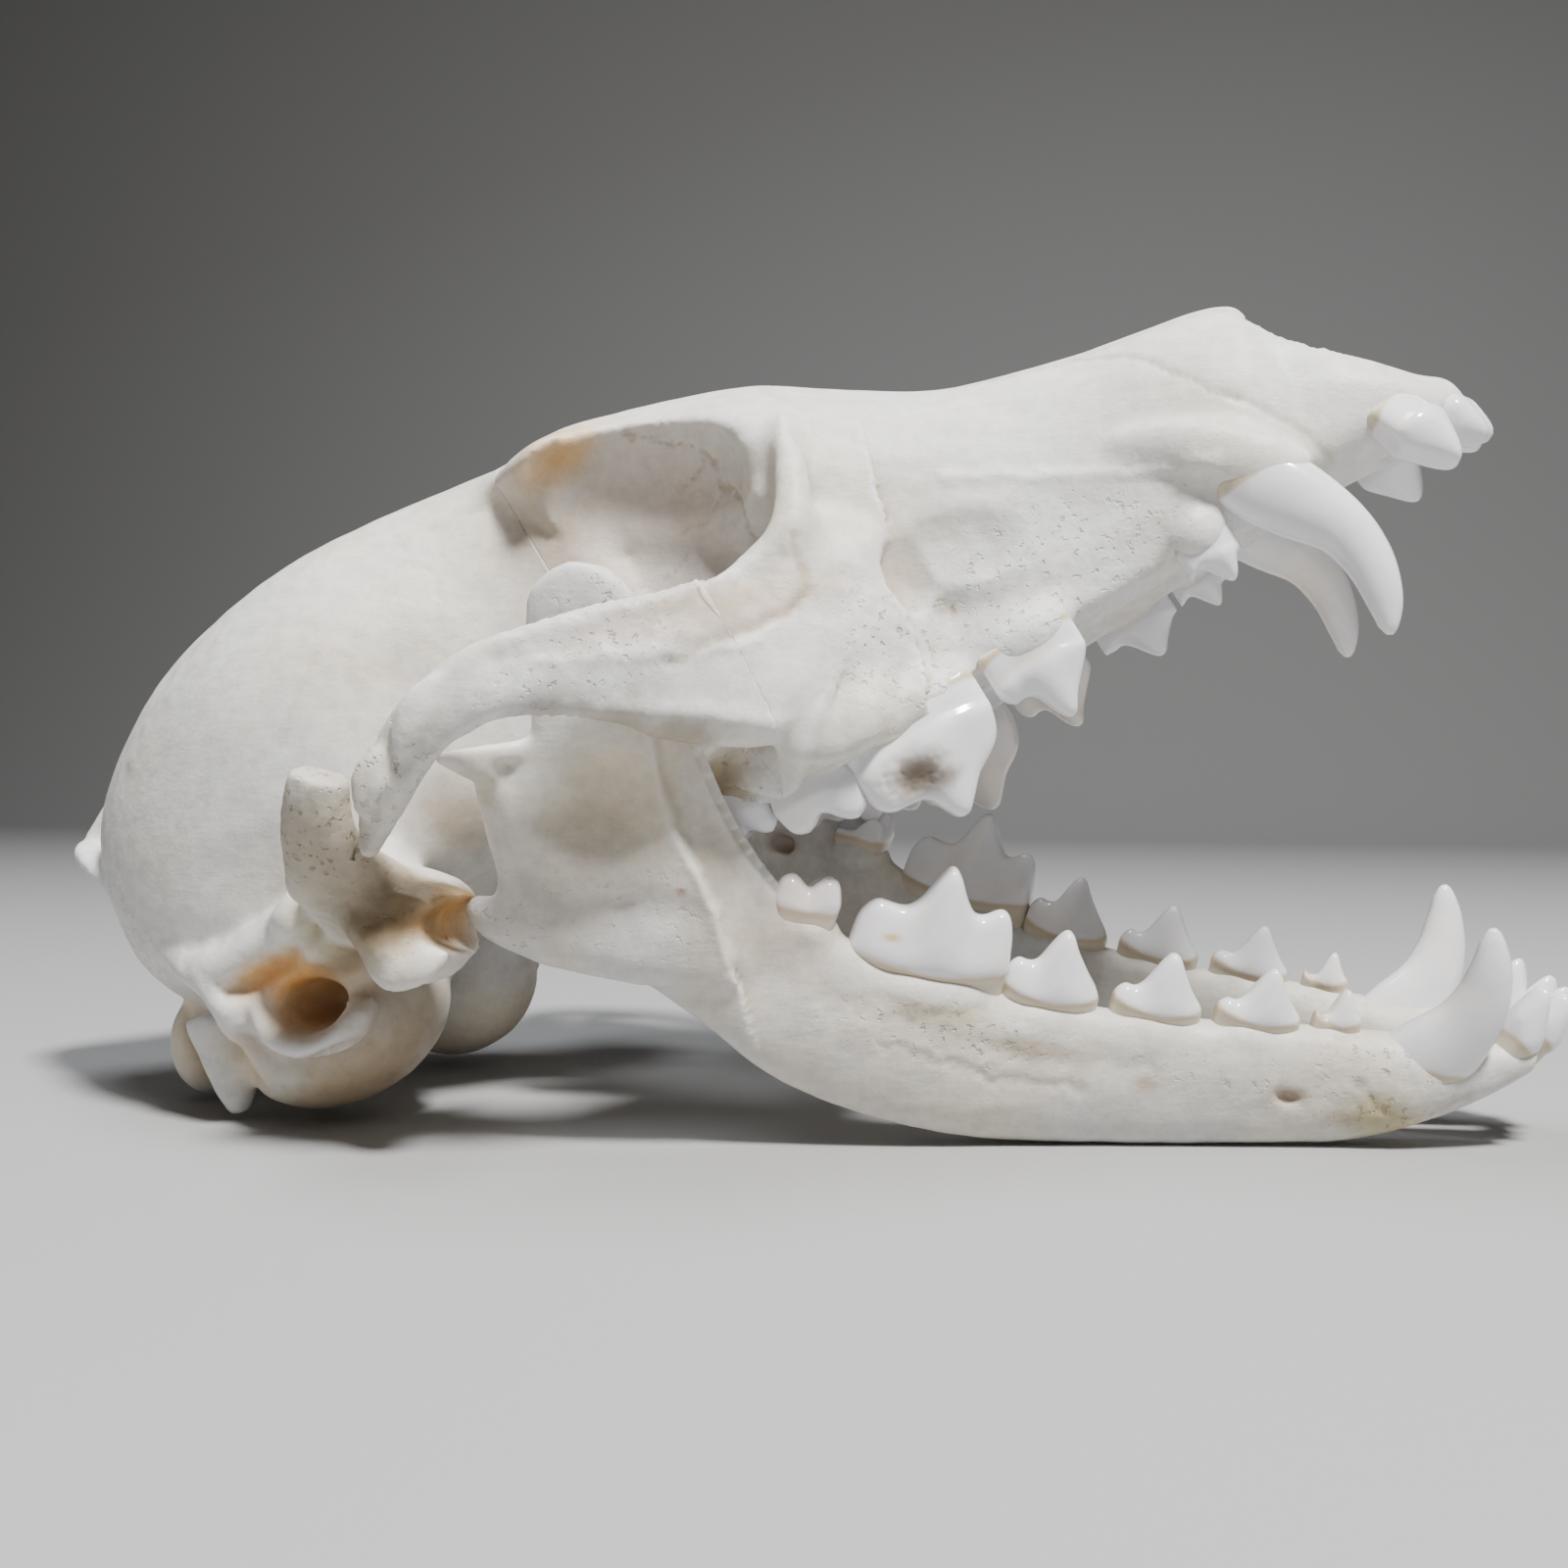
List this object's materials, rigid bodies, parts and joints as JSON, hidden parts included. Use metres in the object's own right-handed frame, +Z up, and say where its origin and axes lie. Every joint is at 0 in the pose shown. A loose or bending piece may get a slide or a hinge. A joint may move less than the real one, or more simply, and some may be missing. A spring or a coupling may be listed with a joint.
{
  "type": "fox skull",
  "caption": "Life-size carnivore skull with separate lower jaw halves, jaws wide open, resting on the jaw's edge and the skull's underside.",
  "frame": {"origin": "centre of the bounding box's bottom face, on the surface that the skull rests on", "axes": "+X from the braincase to the teeth at the front, +Y to the animal's left, +Z up"},
  "size_m": [0.1596, 0.0742, 0.0799],
  "materials": {
    "braincase": "dry bleached bone, matt",
    "snout": "dry bleached bone, matt, with glossy enamel teeth",
    "zygomatic_arch_right": "dry bleached bone, matt",
    "zygomatic_arch_left": "dry bleached bone, matt",
    "mandible_right": "dry bleached bone, matt, with glossy enamel teeth",
    "mandible_left": "dry bleached bone, matt, with glossy enamel teeth"
  },
  "bodies": {
    "root": {"braincase": "braincase", "snout": "snout", "zygomatic_arch_right": "zygomatic_arch_right", "zygomatic_arch_left": "zygomatic_arch_left", "mandible_right": "mandible_right", "mandible_left": "mandible_left"}
  },
  "joints": []
}
